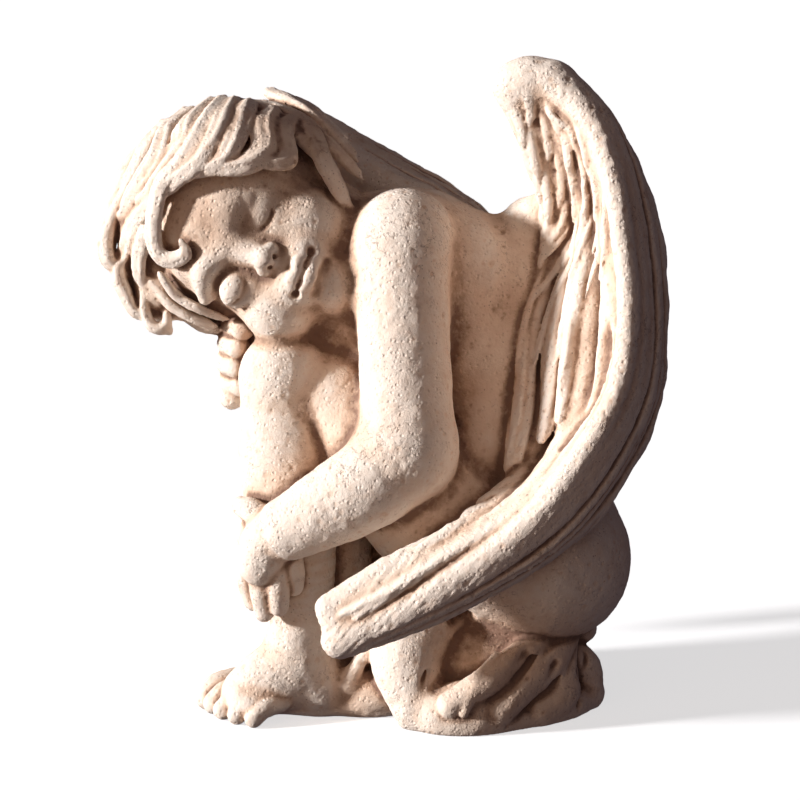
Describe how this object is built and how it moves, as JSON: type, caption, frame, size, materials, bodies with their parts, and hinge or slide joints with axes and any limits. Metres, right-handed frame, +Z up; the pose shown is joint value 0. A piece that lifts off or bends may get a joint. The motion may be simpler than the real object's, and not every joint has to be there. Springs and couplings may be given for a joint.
{
  "type": "stone putto statue",
  "caption": "Cast-stone garden figure of a winged putto sitting on a draped mound, hugging its knees and asleep with its cheek resting on them.",
  "frame": {"origin": "centre of the figure's footprint box, on the underside it rests on", "axes": "+Z up; the face looks toward -Y; the head and feet are on the -X side and the back and wings on the +X side"},
  "size_m": [0.2961, 0.2248, 0.3492],
  "materials": {
    "stone": "cream cast stone, dry and matt, finely pitted, with grey-brown patina in the hollows"
  },
  "bodies": {
    "root": {"putto_statue": "stone"}
  },
  "joints": []
}
